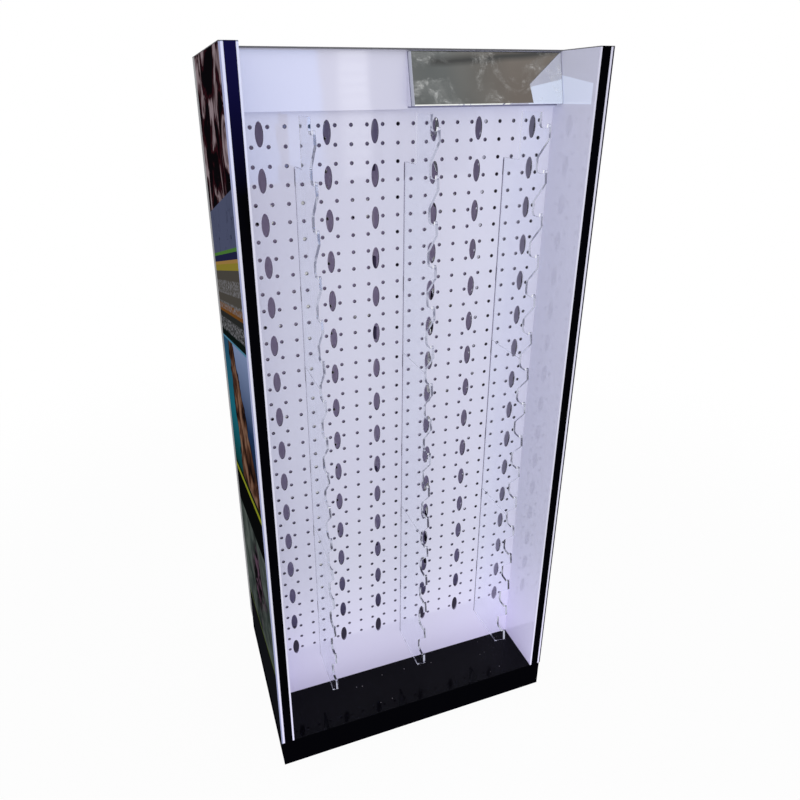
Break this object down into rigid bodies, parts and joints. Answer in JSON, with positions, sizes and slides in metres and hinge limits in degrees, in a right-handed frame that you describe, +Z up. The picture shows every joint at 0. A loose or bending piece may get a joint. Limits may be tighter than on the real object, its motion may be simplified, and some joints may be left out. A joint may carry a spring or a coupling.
{
  "type": "eyewear display rack",
  "caption": "Free-standing double-sided eyewear display: white perforated panels between thick side panels, clear nose strips, header with leaning mirror, black plinth.",
  "frame": {"origin": "on the floor under the middle of the rack", "axes": "+Z up, -Y out of the front face, +Y out of the rear face, +X to the right seen from the front"},
  "size_m": [0.577, 0.412, 1.286],
  "materials": {
    "white_acrylic": "polished white acrylic sheet",
    "white_panel": "glossy white perforated sheet",
    "clear_acrylic": "clear laser-cut acrylic, polished edges",
    "mirror": "silvered acrylic mirror sheet",
    "black_core": "black board, satin edge",
    "black_gloss": "high-gloss black laminate board",
    "grey_board": "satin grey laminate",
    "graphic": "satin printed board, abstract colour bands",
    "timber": "planed softwood",
    "steel": "zinc-plated",
    "rubber": "moulded rubber"
  },
  "bodies": {
    "rack": {"base_corner_blocks": "timber", "base_deck": "black_gloss", "base_feet": "rubber", "batten_screws": "steel", "front_base_skirt": "black_gloss", "front_bottom_cleat": "timber", "front_header_mirror": "mirror", "front_header_plate": "white_acrylic", "front_header_ribs": "white_acrylic", "front_left_batten": "timber", "front_mirror_wedges": "white_acrylic", "front_perforated_panel": "white_panel", "front_right_batten": "timber", "front_top_cleat": "timber", "left_base_skirt": "black_gloss", "left_graphic_board": "graphic", "left_inner_sheet": "white_acrylic", "left_outer_sheet": "white_acrylic", "left_side_core": "black_core", "rear_base_skirt": "black_gloss", "rear_bottom_cleat": "timber", "rear_header_mirror": "mirror", "rear_header_plate": "white_acrylic", "rear_header_ribs": "white_acrylic", "rear_left_batten": "timber", "rear_mirror_wedges": "white_acrylic", "rear_perforated_panel": "white_panel", "rear_right_batten": "timber", "rear_top_cleat": "timber", "right_base_skirt": "black_gloss", "right_graphic_board": "graphic", "right_inner_sheet": "white_acrylic", "right_outer_sheet": "white_acrylic", "right_side_core": "black_core", "roof_board": "grey_board", "roof_screws": "steel", "side_panel_screws": "steel"},
    "front_left_strip": {"front_left_strip_upper": "clear_acrylic", "front_left_strip_middle": "clear_acrylic", "front_left_strip_lower": "clear_acrylic"},
    "front_centre_strip": {"front_centre_strip_upper": "clear_acrylic", "front_centre_strip_middle": "clear_acrylic", "front_centre_strip_lower": "clear_acrylic"},
    "front_right_strip": {"front_right_strip_upper": "clear_acrylic", "front_right_strip_middle": "clear_acrylic", "front_right_strip_lower": "clear_acrylic"},
    "rear_left_strip": {"rear_left_strip_upper": "clear_acrylic", "rear_left_strip_middle": "clear_acrylic", "rear_left_strip_lower": "clear_acrylic"},
    "rear_centre_strip": {"rear_centre_strip_upper": "clear_acrylic", "rear_centre_strip_middle": "clear_acrylic", "rear_centre_strip_lower": "clear_acrylic"},
    "rear_right_strip": {"rear_right_strip_upper": "clear_acrylic", "rear_right_strip_middle": "clear_acrylic", "rear_right_strip_lower": "clear_acrylic"}
  },
  "joints": [
    {"name": "front_left_strip_pull", "type": "slide", "parent": "rack", "child": "front_left_strip", "axis": [0, -1, 0], "range_m": [0, 0.15]},
    {"name": "front_centre_strip_pull", "type": "slide", "parent": "rack", "child": "front_centre_strip", "axis": [0, -1, 0], "range_m": [0, 0.15]},
    {"name": "front_right_strip_pull", "type": "slide", "parent": "rack", "child": "front_right_strip", "axis": [0, -1, 0], "range_m": [0, 0.15]},
    {"name": "rear_left_strip_pull", "type": "slide", "parent": "rack", "child": "rear_left_strip", "axis": [0, 1, 0], "range_m": [0, 0.15]},
    {"name": "rear_centre_strip_pull", "type": "slide", "parent": "rack", "child": "rear_centre_strip", "axis": [0, 1, 0], "range_m": [0, 0.15]},
    {"name": "rear_right_strip_pull", "type": "slide", "parent": "rack", "child": "rear_right_strip", "axis": [0, 1, 0], "range_m": [0, 0.15]}
  ]
}
